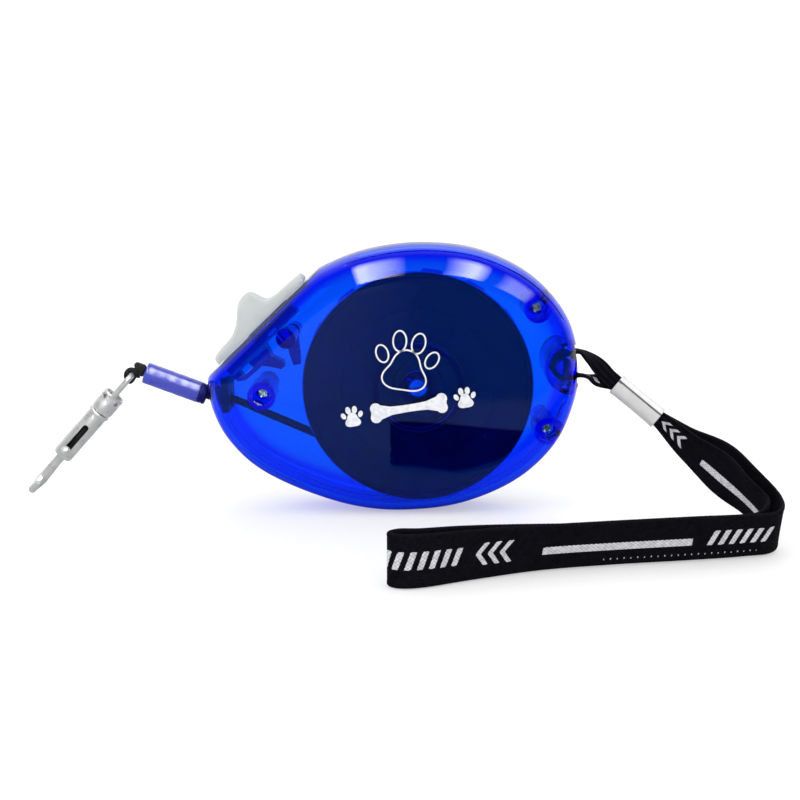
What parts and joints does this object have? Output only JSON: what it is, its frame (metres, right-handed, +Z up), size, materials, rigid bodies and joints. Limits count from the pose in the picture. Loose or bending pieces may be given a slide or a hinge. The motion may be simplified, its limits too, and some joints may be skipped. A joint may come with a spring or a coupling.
{
  "type": "retractable leash",
  "caption": "Small retractable pet leash: clear egg-shaped housing with a sprung cord reel, slide brake, sleeved cord with a swivel snap hook, and a crimped wrist strap.",
  "frame": {"origin": "middle of the flat foot that the housing stands on, under the middle of its length", "axes": "+Z up; +X from the cord's nose to the strap's pocket; the front shell, with the screw heads, faces -Y"},
  "size_m": [0.2319, 0.1035, 0.085],
  "materials": {
    "clear_blue": "clear blue moulded polycarbonate, glossy",
    "white_plastic": "white moulded plastic, satin",
    "dark_plastic": "near-black moulded plastic, satin",
    "grey_plastic": "dark grey moulded plastic",
    "zinc_steel": "zinc plated",
    "spring_steel": "bare spring steel",
    "nickel": "nickel plated, softly worn",
    "black_cord": "braided nylon",
    "black_webbing": "woven polyester webbing with a woven white line",
    "sleeve_blue": "soft translucent vinyl tube",
    "collar_blue": "dark blue vinyl"
  },
  "bodies": {
    "housing": {"front_shell": "clear_blue", "rear_shell": "clear_blue", "case_screw_1": "zinc_steel", "case_screw_2": "zinc_steel", "case_screw_3": "zinc_steel", "cord_guide": "grey_plastic", "reel_axle": "zinc_steel", "pawl_pin": "zinc_steel", "cord_run": "black_cord"},
    "reel": {"reel_drum": "dark_plastic", "reel_cover": "dark_plastic", "spring_cover": "dark_plastic", "mainspring": "spring_steel", "cord_pack": "black_cord"},
    "brake_slide": {"brake_button": "white_plastic", "brake_slider": "clear_blue"},
    "pawl": {"brake_pawl": "clear_blue"},
    "lead_end": {"lead_cord": "black_cord", "cord_sleeve": "sleeve_blue", "sleeve_collar": "collar_blue", "cord_loop": "black_cord"},
    "hook_eye": {"hook_eye": "nickel"},
    "hook": {"hook_body": "nickel", "bolt_spring": "spring_steel"},
    "bolt": {"hook_bolt": "nickel"},
    "strap": {"wrist_strap": "black_webbing", "strap_crimp": "nickel"}
  },
  "joints": [
    {"name": "reel_spin", "type": "hinge", "parent": "housing", "child": "reel", "pos_m": [0.00785, 0, 0.0407], "axis": [0, 1, 0], "range_deg": [0, 6480], "stiffness_Nm_per_rad": 0.0012, "springref_deg": -5729.58},
    {"name": "cord_pull", "type": "slide", "parent": "housing", "child": "lead_end", "axis": [-0.9367, 0, 0.3502], "range_m": [0, 3]},
    {"name": "button_slide", "type": "slide", "parent": "housing", "child": "brake_slide", "axis": [0.7193, 0, 0.6947], "range_m": [0, 0.005]},
    {"name": "pawl_swing", "type": "hinge", "parent": "housing", "child": "pawl", "pos_m": [-0.033, 0.0063, 0.0562], "axis": [0, 1, 0], "range_deg": [-28, 0]},
    {"name": "hook_swing", "type": "hinge", "parent": "lead_end", "child": "hook_eye", "pos_m": [-0.0834, 0, 0.04243], "axis": [0, 1, 0], "range_deg": [-45, 100]},
    {"name": "hook_swivel", "type": "hinge", "parent": "hook_eye", "child": "hook", "pos_m": [-0.09215, 0, 0.03268], "axis": [-0.6678, 0, -0.7443], "continuous": true},
    {"name": "bolt_slide", "type": "slide", "parent": "hook", "child": "bolt", "axis": [0.6678, 0, 0.7443], "range_m": [0, 0.005], "stiffness_N_per_m": 300, "springref_m": -0.004, "deforming": ["bolt_spring"]},
    {"name": "strap_swing", "type": "hinge", "parent": "housing", "child": "strap", "pos_m": [0.0542, 0, 0.0465], "axis": [0, -1, 0], "range_deg": [0, 23]}
  ],
  "couplings": [
    {"joint": "cord_pull", "follows": "reel_spin", "m_per_rad": 0.0265},
    {"joint": "pawl_swing", "follows": "button_slide", "rad_per_m": -97.7}
  ]
}
